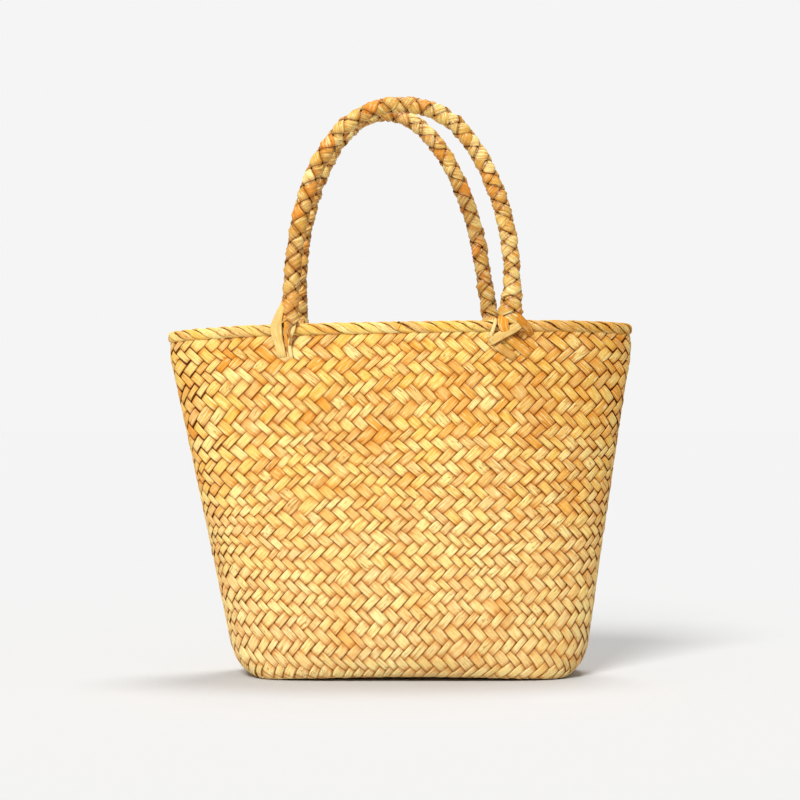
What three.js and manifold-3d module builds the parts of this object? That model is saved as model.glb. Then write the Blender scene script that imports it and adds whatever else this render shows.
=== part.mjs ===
// A small straw basket bag: a twill-woven body, open at the top, with a wrapped rim and two plaited handles
// that flat straw ties bind to the rim.
//
// Millimetres, +Z up. The front faces -Y. The origin is on the surface that the bag stands on, under the
// middle of its base. Run the file with the npm packages three and manifold-3d; it exports a THREE.Group.

import * as THREE from 'three';
import { mergeVertices } from 'three/addons/utils/BufferGeometryUtils.js';
import Module from 'manifold-3d';

// Body: the outer face of the woven wall.
const WALL_HEIGHT = 229;
const WALL_THICKNESS = 2.4;
const BASE_THICKNESS = 2.6;
const MOUTH_LENGTH = 310;
const MOUTH_DEPTH = 75;
const FOOT_LENGTH = 238;
const FOOT_DEPTH = 106;
const FOOT_END_ROUNDING = 16;
const FOOT_SIDE_ROUNDING = 7;

// The base touches the surface in the middle and at its corners, and arches up along its long edges.
const REST_LENGTH = 176;
const REST_DEPTH = 44;
const REST_SQUARENESS = 4;
const EDGE_ARCH = 2.6;
const EDGE_ARCH_HEIGHT = 30;
const EDGE_ARCH_SPAN = 190;

// Handmade set: the mouth sits a little to the left of the base, its right side higher, its ends lower.
const MOUTH_SHIFT = -7;
const MOUTH_TILT = 5.4;
const MOUTH_END_DROOP = 3;

// Rim: a wrapped braid that straddles the wall's top edge.
const RIM_WIDTH = 7;
const RIM_HEIGHT = 8;
const RIM_GROOVE_DEPTH = 4;

// Handles: two round plaits, of which the back one is narrower.
const PLAIT_DIAMETER = 10.6;
const PLAIT_STEP = 5;
const PLAIT_RELIEF = 0.5;
const FRONT_SPAN = 146;
const FRONT_RISE = 141;
const BACK_SPAN = 128.4;
const BACK_RISE = 143.6;

// A handle's offset, its lean at the top and its ties' offsets are shares of its span, to the right. Its
// squareness is the exponent of the arch's left and right half.
const HANDLES = [
  {
    name: 'handle_front', side: -1, span: FRONT_SPAN, rise: FRONT_RISE,
    offset: 0.011, lean: 0.003, squareness: [2.36, 2.14], tieOffsets: [-0.0288, -0.0025],
  },
  {
    name: 'handle_back', side: 1, span: BACK_SPAN, rise: BACK_RISE,
    offset: -0.0317, lean: -0.0535, squareness: [2.02, 2.08], tieOffsets: [0, 0],
  },
];

// Ties: one flat straw at each handle foot.
const TIE_WIDTH = 10.5;
const TIE_THICKNESS = 1.4;
const TIE_RISE = 15;
const TIE_DROP = 18;
const SLOT_HEIGHT = 4.8;

// Clearance between pieces that touch.
const GAP = 0.3;

// How finely curved forms are cut into faces.
const RING_POINTS = 64;
const PLAIT_SIDES = 12;
const TIE_STATIONS = 18;

// Sections of the body, from the base edge up. Height is a share of WALL_HEIGHT. Flare and taper are shares of
// the way from the foot's length and depth to the mouth's. Tuck is a share of the foot roundings, by which the
// section is drawn in. Squareness is the exponent of the section's superellipse.
const SECTIONS = [
  { height: 0.0, flare: 0.0, taper: 0.0, tuck: 1.0, squareness: 4.6 },
  { height: 0.012, flare: 0.0, taper: 0.0, tuck: 0.73, squareness: 4.0 },
  { height: 0.028, flare: 0.0, taper: 0.0, tuck: 0.46, squareness: 3.5 },
  { height: 0.052, flare: 0.0, taper: 0.0, tuck: 0.2, squareness: 3.1 },
  { height: 0.095, flare: 0.01, taper: 0.0, tuck: 0.02, squareness: 2.75 },
  { height: 0.18, flare: 0.09, taper: 0.0, tuck: 0.0, squareness: 2.6 },
  { height: 0.35, flare: 0.28, taper: 0.09, tuck: 0.0, squareness: 2.45 },
  { height: 0.55, flare: 0.51, taper: 0.3, tuck: 0.0, squareness: 2.3 },
  { height: 0.78, flare: 0.77, taper: 0.67, tuck: 0.0, squareness: 2.2 },
  { height: 0.93, flare: 0.95, taper: 0.92, tuck: 0.0, squareness: 2.15 },
  { height: 0.97, flare: 0.97, taper: 0.97, tuck: 0.0, squareness: 2.1 },
  { height: 1.0, flare: 0.92, taper: 1.0, tuck: 0.0, squareness: 2.1 },
];

// The tie's route round the rim, as seen along the rim. Up is a share of TIE_RISE above the wall's top edge, or
// of TIE_DROP below it. Out is a share of the way from the wall's middle to the tie's place beside the plait.
const TIE_ROUTE = [
  { up: 1.0, out: 1.0 },
  { up: 0.35, out: 1.0 },
  { up: -0.06, out: 0.74 },
  { up: -0.3, out: 0.68 },
  { up: -0.68, out: 0.42 },
  { up: -0.92, out: 0.24 },
  { up: -1.0, out: 0.0 },
];

const RING_TURNS = Array.from({ length: RING_POINTS }, (_, k) => (2 * Math.PI * k) / RING_POINTS);

const lerp = THREE.MathUtils.lerp;

function signedPower(value, exponent) {
  return Math.sign(value) * Math.abs(value) ** exponent;
}

function sectionAt(height) {
  const share = THREE.MathUtils.clamp(height / WALL_HEIGHT, 0, 1);
  let upper = 1;
  while (SECTIONS[upper].height < share) upper += 1;
  const below = SECTIONS[upper - 1];
  const above = SECTIONS[upper];
  const way = (share - below.height) / (above.height - below.height);
  const flare = lerp(below.flare, above.flare, way);
  const taper = lerp(below.taper, above.taper, way);
  const tuck = lerp(below.tuck, above.tuck, way);
  return {
    halfLength: lerp(FOOT_LENGTH, MOUTH_LENGTH, flare) / 2 - FOOT_END_ROUNDING * tuck,
    halfDepth: lerp(FOOT_DEPTH, MOUTH_DEPTH, taper) / 2 - FOOT_SIDE_ROUNDING * tuck,
    squareness: lerp(below.squareness, above.squareness, way),
  };
}

// A point of the body's wall: turn is the angle round the section, out the distance from the outer face.
function wallPoint(turn, height, out) {
  const { halfLength, halfDepth, squareness } = sectionAt(height);
  const along = signedPower(Math.cos(turn), 2 / squareness);
  const across = signedPower(Math.sin(turn), 2 / squareness);
  const normal = new THREE.Vector2(
    signedPower(along, squareness - 1) / halfLength,
    signedPower(across, squareness - 1) / halfDepth,
  ).normalize();
  const x = halfLength * along + normal.x * out;
  const y = halfDepth * across + normal.y * out;
  const up = height / WALL_HEIGHT;
  const tilt = MOUTH_TILT * (x / MOUTH_LENGTH) * up;
  const droop = MOUTH_END_DROOP * Math.abs(along) ** 4 * up ** 3;
  const archSpan = Math.max(0, 1 - (2 * x / EDGE_ARCH_SPAN) ** 2);
  const arch = EDGE_ARCH * archSpan * Math.max(0, 1 - height / EDGE_ARCH_HEIGHT);
  return new THREE.Vector3(x + MOUTH_SHIFT * up, y, height + tilt - droop + arch);
}

// A point near the wall's top edge: up is measured from that edge, out from the middle of the wall.
function edgePoint(turn, up, out) {
  return wallPoint(turn, WALL_HEIGHT + Math.min(up, 0), out - WALL_THICKNESS / 2)
    .add(new THREE.Vector3(0, 0, Math.max(up, 0)));
}

// The angle at which the wall's top edge, at its middle, lies at this distance along the bag.
function turnAt(along, side) {
  const { halfLength, squareness } = sectionAt(WALL_HEIGHT);
  const share = along / (halfLength - WALL_THICKNESS / 2);
  return side * Math.acos(signedPower(share, squareness / 2));
}

// A closed body through rings of equally many points. An open row of rings is closed by a fan at each end,
// and a loop joins its last ring to its first.
function loft(rings, loop = false) {
  const count = rings[0].length;
  const positions = rings.flat().flatMap((point) => point.toArray());
  const index = [];
  const spans = loop ? rings.length : rings.length - 1;
  for (let i = 0; i < spans; i += 1) {
    const lower = i * count;
    const upper = ((i + 1) % rings.length) * count;
    for (let k = 0; k < count; k += 1) {
      const next = (k + 1) % count;
      index.push(lower + k, lower + next, upper + next);
      index.push(lower + k, upper + next, upper + k);
    }
  }
  if (!loop) {
    closeWithFan(positions, index, rings[0], 0, true);
    closeWithFan(positions, index, rings.at(-1), (rings.length - 1) * count, false);
  }
  const geometry = new THREE.BufferGeometry();
  geometry.setAttribute('position', new THREE.Float32BufferAttribute(positions, 3));
  geometry.setIndex(signedVolume(positions, index) < 0 ? index.toReversed() : index);
  return geometry;
}

function closeWithFan(positions, index, ring, first, reversed) {
  const centre = new THREE.Vector3();
  ring.forEach((point) => centre.addScaledVector(point, 1 / ring.length));
  const hub = positions.length / 3;
  positions.push(...centre.toArray());
  ring.forEach((_, k) => {
    const here = first + k;
    const next = first + ((k + 1) % ring.length);
    index.push(hub, reversed ? next : here, reversed ? here : next);
  });
}

function signedVolume(positions, index) {
  const corner = (i) => new THREE.Vector3().fromArray(positions, 3 * index[i]);
  let volume = 0;
  for (let i = 0; i < index.length; i += 3) {
    volume += corner(i).dot(corner(i + 1).cross(corner(i + 2))) / 6;
  }
  return volume;
}

const wasm = await Module();
wasm.setup();

function toSolid(geometry) {
  const bare = geometry.clone();
  bare.deleteAttribute('normal');
  bare.deleteAttribute('uv');
  const merged = mergeVertices(bare);
  return new wasm.Manifold(new wasm.Mesh({
    numProp: 3,
    vertProperties: merged.attributes.position.array,
    triVerts: new Uint32Array(merged.index.array),
  }));
}

function toGeometry(solid) {
  const mesh = solid.getMesh();
  const geometry = new THREE.BufferGeometry();
  geometry.setAttribute('position', new THREE.Float32BufferAttribute(mesh.vertProperties, 3));
  geometry.setIndex([...mesh.triVerts]);
  return geometry;
}

function wallRing(height, out) {
  return RING_TURNS.map((turn) => wallPoint(turn, height, out));
}

function restRing(height) {
  return RING_TURNS.map((turn) => new THREE.Vector3(
    (REST_LENGTH / 2) * signedPower(Math.cos(turn), 2 / REST_SQUARENESS),
    (REST_DEPTH / 2) * signedPower(Math.sin(turn), 2 / REST_SQUARENESS),
    height,
  ));
}

// The woven shell, lofted from its underside up the outer face, over the top edge and down the inner face.
function bodyGeometry(ties) {
  const heights = SECTIONS.map((section) => section.height * WALL_HEIGHT);
  const innerHeights = heights.map((height) => lerp(BASE_THICKNESS, WALL_HEIGHT, height / WALL_HEIGHT));
  const outerRings = heights.map((height) => wallRing(height, 0));
  const innerRings = innerHeights.map((height) => wallRing(height, -WALL_THICKNESS));
  const shell = loft([restRing(0), ...outerRings, ...innerRings.toReversed(), restRing(BASE_THICKNESS)]);
  const slots = ties.map((tie) => toSolid(slotGeometry(tie)));
  return toGeometry(slots.reduce((solid, slot) => solid.subtract(slot), toSolid(shell)));
}

// The direction along the wall at a foot, and the middle of the wall's top edge there.
function footFrame(turn) {
  const step = 0.01;
  const before = edgePoint(turn - step, 0, 0);
  const after = edgePoint(turn + step, 0, 0);
  return { along: after.sub(before).setZ(0).normalize(), turn };
}

function slotGeometry({ along, turn }) {
  const halfWidth = TIE_WIDTH / 2 + GAP;
  const reach = 2 * WALL_THICKNESS;
  const bottom = -TIE_DROP - TIE_THICKNESS / 2 - GAP;
  const corners = [[-1, 0], [1, 0], [1, 1], [-1, 1]];
  return loft([reach, -reach].map((out) => corners.map(([sideways, up]) => edgePoint(turn, bottom, out)
    .addScaledVector(along, sideways * halfWidth)
    .add(new THREE.Vector3(0, 0, up * SLOT_HEIGHT)))));
}

function rimGeometry() {
  const half = RIM_WIDTH / 2;
  const groove = WALL_THICKNESS / 2 + GAP;
  const bottom = GAP - RIM_GROOVE_DEPTH;
  const top = bottom + RIM_HEIGHT;
  const outline = [
    { out: groove, up: bottom },
    { out: 0.9 * half, up: bottom },
    { out: half, up: lerp(bottom, top, 0.3) },
    { out: 0.94 * half, up: lerp(bottom, top, 0.8) },
    { out: 0.45 * half, up: top },
    { out: -0.45 * half, up: top },
    { out: -0.94 * half, up: lerp(bottom, top, 0.8) },
    { out: -half, up: lerp(bottom, top, 0.3) },
    { out: -0.9 * half, up: bottom },
    { out: -groove, up: bottom },
    { out: -groove, up: GAP },
    { out: groove, up: GAP },
  ];
  return loft(RING_TURNS.map((turn) => outline.map(({ out, up }) => edgePoint(turn, up, out))), true);
}

const RIM_TOP = RIM_HEIGHT - RIM_GROOVE_DEPTH + GAP;

function handleFeet({ side, span, offset }) {
  return [-0.5, 0.5].map((end) => footFrame(turnAt((offset + end) * span, side)));
}

// The ties' places on the wall, which may lie a little to one side of the feet that they bind.
function tieFrames({ side, span, offset, tieOffsets }) {
  return [-0.5, 0.5].map((end, i) => footFrame(turnAt((offset + tieOffsets[i] + end) * span, side)));
}

// A plait's middle line: an arch, squarer than a half ellipse, that stands on the rim at both feet.
function handlePath(handle) {
  const [left, right] = handleFeet(handle).map(({ turn }) => edgePoint(turn, RIM_TOP + GAP, 0));
  const middle = left.clone().lerp(right, 0.5);
  const halfSpan = right.clone().sub(left).multiplyScalar(0.5);
  return (turn) => {
    const squareness = handle.squareness[turn < Math.PI / 2 ? 0 : 1];
    const along = -signedPower(Math.cos(turn), 2 / squareness);
    const up = signedPower(Math.sin(turn), 2 / squareness);
    return middle.clone().addScaledVector(halfSpan, along)
      .add(new THREE.Vector3(handle.lean * handle.span * up, 0, handle.rise * up));
  };
}

class ArchCurve extends THREE.Curve {
  constructor(path) {
    super();
    this.path = path;
    this.arcLengthDivisions = 800;
  }

  getPoint(share) {
    return this.path(Math.PI * share);
  }
}

// The plait's relief: the strands' crossings stand out in turn at four sides and between them.
function handleGeometry(handle) {
  const curve = new ArchCurve(handlePath(handle));
  const steps = Math.round(curve.getLength() / PLAIT_STEP);
  const rings = [];
  for (let i = 0; i <= steps; i += 1) {
    const middle = curve.getPointAt(i / steps);
    const tangent = i === 0 || i === steps
      ? new THREE.Vector3(0, 0, i === 0 ? 1 : -1)
      : curve.getTangentAt(i / steps);
    const depthways = new THREE.Vector3(0, 1, 0);
    const sideways = depthways.clone().cross(tangent).normalize();
    const swing = i % 2 === 0 ? 1 : -1;
    rings.push(Array.from({ length: PLAIT_SIDES }, (_, k) => {
      const angle = (2 * Math.PI * k) / PLAIT_SIDES;
      const radius = PLAIT_DIAMETER / 2 + PLAIT_RELIEF * swing * Math.cos(4 * angle);
      return middle.clone()
        .addScaledVector(sideways, radius * Math.cos(angle))
        .addScaledVector(depthways, radius * Math.sin(angle));
    }));
  }
  return loft(rings);
}

// A tie runs down the outside of the rim, in through its slot in the wall and up the inside.
function tieGeometry({ along, turn }) {
  const beside = PLAIT_DIAMETER / 2 + PLAIT_RELIEF + GAP + TIE_THICKNESS / 2;
  const outside = TIE_ROUTE.map(({ up, out }) => ({ up, out: out * beside }));
  const inside = outside.slice(0, -1).toReversed().map(({ up, out }) => ({ up, out: -out }));
  const route = new THREE.CatmullRomCurve3([...outside, ...inside].map(({ up, out }) => {
    const rise = up > 0 ? up * TIE_RISE : up * TIE_DROP;
    return edgePoint(turn, rise, out);
  }));
  const rings = [];
  for (let i = 0; i <= TIE_STATIONS; i += 1) {
    const middle = route.getPointAt(i / TIE_STATIONS);
    const through = route.getTangentAt(i / TIE_STATIONS).cross(along).normalize();
    const corners = [[-1, -1], [1, -1], [1, 1], [-1, 1]];
    rings.push(corners.map(([sideways, out]) => middle.clone()
      .addScaledVector(along, (sideways * TIE_WIDTH) / 2)
      .addScaledVector(through, (out * TIE_THICKNESS) / 2)));
  }
  return loft(rings);
}

const straw = new THREE.MeshStandardMaterial({ color: 0xe6b45c, roughness: 0.55, metalness: 0 });
const rimStraw = new THREE.MeshStandardMaterial({ color: 0xd99f48, roughness: 0.55, metalness: 0 });
const plaitStraw = new THREE.MeshStandardMaterial({ color: 0xdd9a3e, roughness: 0.45, metalness: 0 });
const tieStraw = new THREE.MeshStandardMaterial({ color: 0xe8b968, roughness: 0.5, metalness: 0 });

function piece(name, geometry, material) {
  const mesh = new THREE.Mesh(geometry, material);
  mesh.name = name;
  return mesh;
}

const basketBag = new THREE.Group();
basketBag.add(piece('basket_body', bodyGeometry(HANDLES.flatMap((handle) => tieFrames(handle))), straw));
basketBag.add(piece('rim_braid', rimGeometry(), rimStraw));
for (const handle of HANDLES) {
  basketBag.add(piece(handle.name, handleGeometry(handle), plaitStraw));
  tieFrames(handle).forEach((frame, i) => {
    const name = `${handle.name.replace('handle', 'tie')}_${i === 0 ? 'left' : 'right'}`;
    basketBag.add(piece(name, tieGeometry(frame), tieStraw));
  });
}

export default basketBag;
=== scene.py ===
# A straw basket bag: real woven strands, plaits and ties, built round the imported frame.
#
# Shapes are worked out in millimetres in the frame's own axes, and turned into metres when a mesh is made.

import bpy
import numpy as np
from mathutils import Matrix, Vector


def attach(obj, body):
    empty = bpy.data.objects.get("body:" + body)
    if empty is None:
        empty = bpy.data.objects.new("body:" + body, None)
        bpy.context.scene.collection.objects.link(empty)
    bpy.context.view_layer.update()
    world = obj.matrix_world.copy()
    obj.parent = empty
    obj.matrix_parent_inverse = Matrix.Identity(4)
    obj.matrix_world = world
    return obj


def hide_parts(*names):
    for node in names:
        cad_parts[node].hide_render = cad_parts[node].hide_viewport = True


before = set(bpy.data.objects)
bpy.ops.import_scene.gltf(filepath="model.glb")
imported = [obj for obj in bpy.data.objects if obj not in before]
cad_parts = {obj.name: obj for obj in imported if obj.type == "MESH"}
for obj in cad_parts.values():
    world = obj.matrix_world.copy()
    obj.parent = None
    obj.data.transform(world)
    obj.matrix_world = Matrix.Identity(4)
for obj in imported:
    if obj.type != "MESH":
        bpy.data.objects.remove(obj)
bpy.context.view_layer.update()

MM = 0.001

# Body: the same driving sizes as the frame's.
WALL_HEIGHT = 229.0
WALL_THICKNESS = 2.4
MOUTH_LENGTH = 310.0
MOUTH_DEPTH = 75.0
FOOT_LENGTH = 238.0
FOOT_DEPTH = 106.0
FOOT_END_ROUNDING = 16.0
FOOT_SIDE_ROUNDING = 7.0
EDGE_ARCH = 2.6
EDGE_ARCH_HEIGHT = 30.0
EDGE_ARCH_SPAN = 190.0
MOUTH_SHIFT = -7.0
MOUTH_TILT = 5.4
MOUTH_END_DROOP = 3.0

# Columns: height as a share of WALL_HEIGHT, flare and taper as shares of the way from foot to mouth, tuck as
# a share of the foot roundings, and the section's squareness.
SECTIONS = np.array([
    (0.0, 0.0, 0.0, 1.0, 4.6),
    (0.012, 0.0, 0.0, 0.73, 4.0),
    (0.028, 0.0, 0.0, 0.46, 3.5),
    (0.052, 0.0, 0.0, 0.2, 3.1),
    (0.095, 0.01, 0.0, 0.02, 2.75),
    (0.18, 0.09, 0.0, 0.0, 2.6),
    (0.35, 0.28, 0.09, 0.0, 2.45),
    (0.55, 0.51, 0.3, 0.0, 2.3),
    (0.78, 0.77, 0.67, 0.0, 2.2),
    (0.93, 0.95, 0.92, 0.0, 2.15),
    (0.97, 0.97, 0.97, 0.0, 2.1),
    (1.0, 0.92, 1.0, 0.0, 2.1),
])

# How the wall is smoothed: passes over its sections, over those above a level, and over the rows round the
# base's edge. TURN_STEPS is the number of points worked out round a section.
WALL_PASSES = 2
HIGH_PASSES = 30
HIGH_LEVEL = 20.0
EDGE_PASSES = 3
EDGE_LEVELS = (-4, 6)
TURN_STEPS = 4001

# Weave: strands in two slanting families, each over two and under two. A row is one crossing's height, and
# columns count round the girth from the middle of the front. Lengths are in millimetres.
COLUMNS = 76
ROW_PAIRS = np.array([-1.0, 0.0, 1.0, 2.0, 4.0, 10.0, 12.0, 13.0, 14.0])
PAIR_HEIGHTS = np.array([-6.4, 10.3, 28.4, 45.3, 76.5, 165.4, 199.0, 214.1, 230.0])
ROWS = (-2.1, 27.95)
STRAND_THICKNESS = 0.95
CROSSING_LENGTH = 6.0
WEAVE_LIFT = 0.55
DIVE = 0.3
BULGE = (-0.1, 0.2)
FLOAT_TILT = 0.26
END_GAPE = 0.5
GAPE_LEVELS = (10.0, 35.0)
UNDER_REACH = 12.0

# How strands differ, as shares of a strand's width. WANDER_SCALE is how quickly their edges wander along
# them, and PINCH_PHASES are the phases between which they narrow.
WIDTH_SPREAD = 0.3
EDGE_WANDER = 0.09
WANDER_SCALE = 0.45
GAP_SHARE = (0.0, 0.06)
FLOAT_SPREAD = 0.1
PINCH = 0.12
PINCH_PHASES = (0.48, 1.28)

# The unwrapped strands' margins in their texture layout.
END_MARGIN = 0.01
SIDE_MARGIN = 0.03


def chance(*keys):
    """A fixed number from 0 to 1 for each set of whole-number keys."""
    value = np.zeros(np.broadcast(*[np.asarray(k) for k in keys]).shape, np.int64) + 97
    for key in keys:
        value = (value * 31337 + np.asarray(key, np.int64) * 668265263 + 374761393) & 0xFFFFFFFF
        value = ((value ^ (value >> 13)) * 1274126177) & 0xFFFFFFFF
        value = value ^ (value >> 16)
    return value / 2.0**32


def noise(x, y, seed):
    """Smooth noise from -1 to 1."""
    x, y = np.broadcast_arrays(np.asarray(x, float), np.asarray(y, float))
    ix, iy = np.floor(x).astype(np.int64), np.floor(y).astype(np.int64)
    fx, fy = x - ix, y - iy
    sx, sy = fx * fx * (3 - 2 * fx), fy * fy * (3 - 2 * fy)
    low = chance(ix, iy, seed) * (1 - sx) + chance(ix + 1, iy, seed) * sx
    high = chance(ix, iy + 1, seed) * (1 - sx) + chance(ix + 1, iy + 1, seed) * sx
    return 2 * (low * (1 - sy) + high * sy) - 1


def lerp(a, b, way):
    return a + (b - a) * way


def ramp(value, low, high):
    """0 at low and under, 1 at high and over."""
    return np.clip((value - low) / (high - low), 0, 1)


def signed_power(value, exponent):
    return np.sign(value) * np.abs(value) ** exponent


def unit(v):
    return v / np.maximum(np.linalg.norm(v, axis=-1, keepdims=True), 1e-9)


def smoothed(values, passes):
    """Averages each row with its neighbours, and keeps the first and last."""
    for _ in range(passes):
        middle = (values[:-2] + 2 * values[1:-1] + values[2:]) / 4
        values = np.concatenate([values[:1], middle, values[-1:]])
    return values


# The wall as a grid of points and normals: one row a millimetre, from under the base up to the mouth.
LEVELS = np.arange(-UNDER_REACH, WALL_HEIGHT + 2.0)
GRID_COLUMNS = COLUMNS * 10
SHORT_STEP = 0.02


def section_sizes():
    """Half the length, half the depth and the squareness of the wall's section at each level."""
    heights = np.clip(LEVELS, 0, WALL_HEIGHT)
    share = heights / WALL_HEIGHT
    flare, taper, tuck, squareness = (np.interp(share, SECTIONS[:, 0], SECTIONS[:, k]) for k in range(1, 5))
    sizes = np.stack([
        lerp(FOOT_LENGTH, MOUTH_LENGTH, flare) / 2 - FOOT_END_ROUNDING * tuck,
        lerp(FOOT_DEPTH, MOUTH_DEPTH, taper) / 2 - FOOT_SIDE_ROUNDING * tuck,
        squareness,
    ], axis=1)
    above = LEVELS > 0
    sizes[above] = smoothed(sizes[above], WALL_PASSES)
    high = LEVELS > HIGH_LEVEL
    sizes[high] = smoothed(sizes[high], HIGH_PASSES)
    return sizes


def wall_grid():
    turns = np.linspace(-np.pi / 2, 1.5 * np.pi, TURN_STEPS)
    wanted = np.arange(GRID_COLUMNS) / GRID_COLUMNS
    rows = []
    for level, (half_length, half_depth, squareness) in zip(LEVELS, section_sizes()):
        along = signed_power(np.cos(turns), 2 / squareness)
        across = signed_power(np.sin(turns), 2 / squareness)
        x, y = half_length * along, half_depth * across
        girth = np.concatenate([[0], np.cumsum(np.hypot(np.diff(x), np.diff(y)))])
        normal = unit(np.stack([
            signed_power(along, squareness - 1) / half_length,
            signed_power(across, squareness - 1) / half_depth,
        ], axis=1))
        inset, height = max(-level, 0.0), max(level, 0.0)
        x, y = x - inset * normal[:, 0], y - inset * normal[:, 1]
        up = height / WALL_HEIGHT
        tilt = MOUTH_TILT * x / MOUTH_LENGTH * up
        droop = MOUTH_END_DROOP * np.abs(along) ** 4 * up**3
        arch = EDGE_ARCH * np.maximum(0, 1 - (2 * x / EDGE_ARCH_SPAN) ** 2)
        arch *= max(0.0, 1 - height / EDGE_ARCH_HEIGHT) * (1 - 0.5 * inset / UNDER_REACH)
        points = np.stack([x + MOUTH_SHIFT * up, y, height + tilt - droop + arch], axis=1)
        rows.append(np.stack([np.interp(wanted, girth / girth[-1], points[:, k]) for k in range(3)], axis=1))
    grid = np.array(rows)
    edge = slice(*(int(UNDER_REACH) + level for level in EDGE_LEVELS))
    grid[edge] = smoothed(grid[edge], EDGE_PASSES)
    return grid


WALL = wall_grid()


def wall_normals():
    sideways = np.roll(WALL, -1, axis=1) - np.roll(WALL, 1, axis=1)
    upward = np.gradient(WALL, axis=0)
    return unit(np.cross(sideways, upward))


WALL_NORMALS = wall_normals()


def wall_point(column, level, out):
    """A point of the wall, from its place along the girth in columns, its height and its distance outward."""
    place = (np.asarray(column) / COLUMNS % 1) * GRID_COLUMNS
    row = np.clip(np.asarray(level) - LEVELS[0], 0, len(LEVELS) - 1.001)
    place, row = np.broadcast_arrays(place, row)
    k, i = np.floor(place).astype(int), np.floor(row).astype(int)
    side, up = (place - k)[..., None], (row - i)[..., None]
    k, after = k % GRID_COLUMNS, (k + 1) % GRID_COLUMNS

    def sample(grid):
        lower = lerp(grid[i, k], grid[i, after], side)
        upper = lerp(grid[i + 1, k], grid[i + 1, after], side)
        return lerp(lower, upper, up)

    return sample(WALL) + unit(sample(WALL_NORMALS)) * np.asarray(out)[..., None]


def edge_point(column, up, out):
    """A point near the wall's top edge: up from that edge, and out from the wall's middle, level."""
    up = np.asarray(up, float)
    none = np.zeros_like(up)
    base = wall_point(column, WALL_HEIGHT + np.minimum(up, 0), np.zeros_like(up + out))
    ahead = wall_point(np.asarray(column) + SHORT_STEP, WALL_HEIGHT + none, none)
    behind = wall_point(np.asarray(column) - SHORT_STEP, WALL_HEIGHT + none, none)
    along = ahead - behind
    outward = unit(np.stack([along[..., 1], -along[..., 0], np.zeros(along.shape[:-1])], axis=-1))
    lift = np.zeros(base.shape)
    lift[..., 2] = np.maximum(up, 0)
    return base + lift + outward * (np.asarray(out) - WALL_THICKNESS / 2)[..., None]


def column_at(x, side):
    """The column of the point of the mouth that lies at this x, on the front (side -1) or back (side 1)."""
    columns = np.arange(GRID_COLUMNS) / GRID_COLUMNS * COLUMNS
    if side < 0:
        columns = (columns + COLUMNS / 2) % COLUMNS - COLUMNS / 2
    ring = wall_point(columns, WALL_HEIGHT, -WALL_THICKNESS / 2)
    chosen = ring[:, 1] * side > 0
    order = np.argsort(ring[chosen, 0])
    return float(np.interp(x, ring[chosen, 0][order], columns[chosen][order]))


# Cross-sections of a strand. Columns: place across its width, and lift as a share of half its thickness.
FLAT_RING = np.array([
    (-1.0, -0.3), (-0.93, 0.55), (-0.62, 0.9), (0.62, 0.9), (0.93, 0.55), (1.0, -0.3),
    (0.8, -1.0), (-0.8, -1.0),
])
ROUND_RING = np.array([
    (-1.0, -0.4), (-0.93, 0.35), (-0.6, 0.85), (0.0, 1.0), (0.6, 0.85), (0.93, 0.35), (1.0, -0.4),
    (0.7, -0.9), (-0.7, -0.9),
])
RIDGED_RING = np.array([
    (-1.0, -0.5), (-0.95, 0.2), (-0.78, 0.6), (-0.6, 0.75), (-0.4, 0.9), (-0.2, 0.97), (0.0, 1.0),
    (0.2, 0.97), (0.4, 0.9), (0.6, 0.75), (0.78, 0.6), (0.95, 0.2), (1.0, -0.5),
    (0.6, -0.9), (-0.6, -0.9),
])


def ring_shares(ring):
    """How far round the ring each corner lies, from 0 to 1, with its width counted three times."""
    closed = np.vstack([ring, ring[:1]]) * (3.0, 0.5)
    lengths = np.linalg.norm(np.diff(closed, axis=0), axis=1)
    return np.concatenate([[0], np.cumsum(lengths)]) / lengths.sum()


def strand_uv(strands, along, ring, s, i, k):
    """Texture places of the quads' corners: each strand is a band of its own, unrolled."""
    u = (along - along.min()) / np.ptp(along) * (1 - 2 * END_MARGIN) + END_MARGIN
    shares = SIDE_MARGIN + (1 - 2 * SIDE_MARGIN) * ring_shares(ring)
    v = np.stack([shares[k], shares[k + 1], shares[k + 1], shares[k]], axis=1) + s[:, None]
    return np.stack([np.stack([u[s, i], u[s, i], u[s, i + 1], u[s, i + 1]], axis=1), v / strands], axis=2)


def strand_mesh(name, points, along, across, phase, tones, ring, keep=None):
    """One object of many strands. points: strand, station, place in the ring, 3; the rest go with them."""
    strands, stations, sides, _ = points.shape
    s, i, k = np.meshgrid(np.arange(strands), np.arange(stations - 1), np.arange(sides), indexing="ij")
    if keep is not None:
        chosen = keep[s, i]
        s, i, k = s[chosen], i[chosen], k[chosen]
    s, i, k = s.ravel(), i.ravel(), k.ravel()
    after = (k + 1) % sides

    def corner(station, side):
        return (s * stations + station) * sides + side

    quads = np.stack([corner(i, k), corner(i, after), corner(i + 1, after), corner(i + 1, k)], axis=1)
    flat = points.reshape(-1, 3)
    tri = flat[quads[:, :3]]
    uv = strand_uv(strands, np.broadcast_to(along, (strands, stations)), ring, s, i, k)
    if np.einsum("ij,ij->i", tri[:, 0], np.cross(tri[:, 1], tri[:, 2])).sum() < 0:
        quads, uv = quads[:, ::-1], uv[:, ::-1]
    used, quads = np.unique(quads, return_inverse=True)

    def spread(values):
        columns = [np.broadcast_to(a, (strands, stations, sides)).ravel()[used] for a in values]
        return np.stack(columns, axis=1)

    attributes = {"straw": spread((along[..., None], across, phase)), "tone": spread(tones)}
    return make_mesh(name, flat[used] * MM, quads.reshape(-1, 4), uv, attributes)


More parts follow.
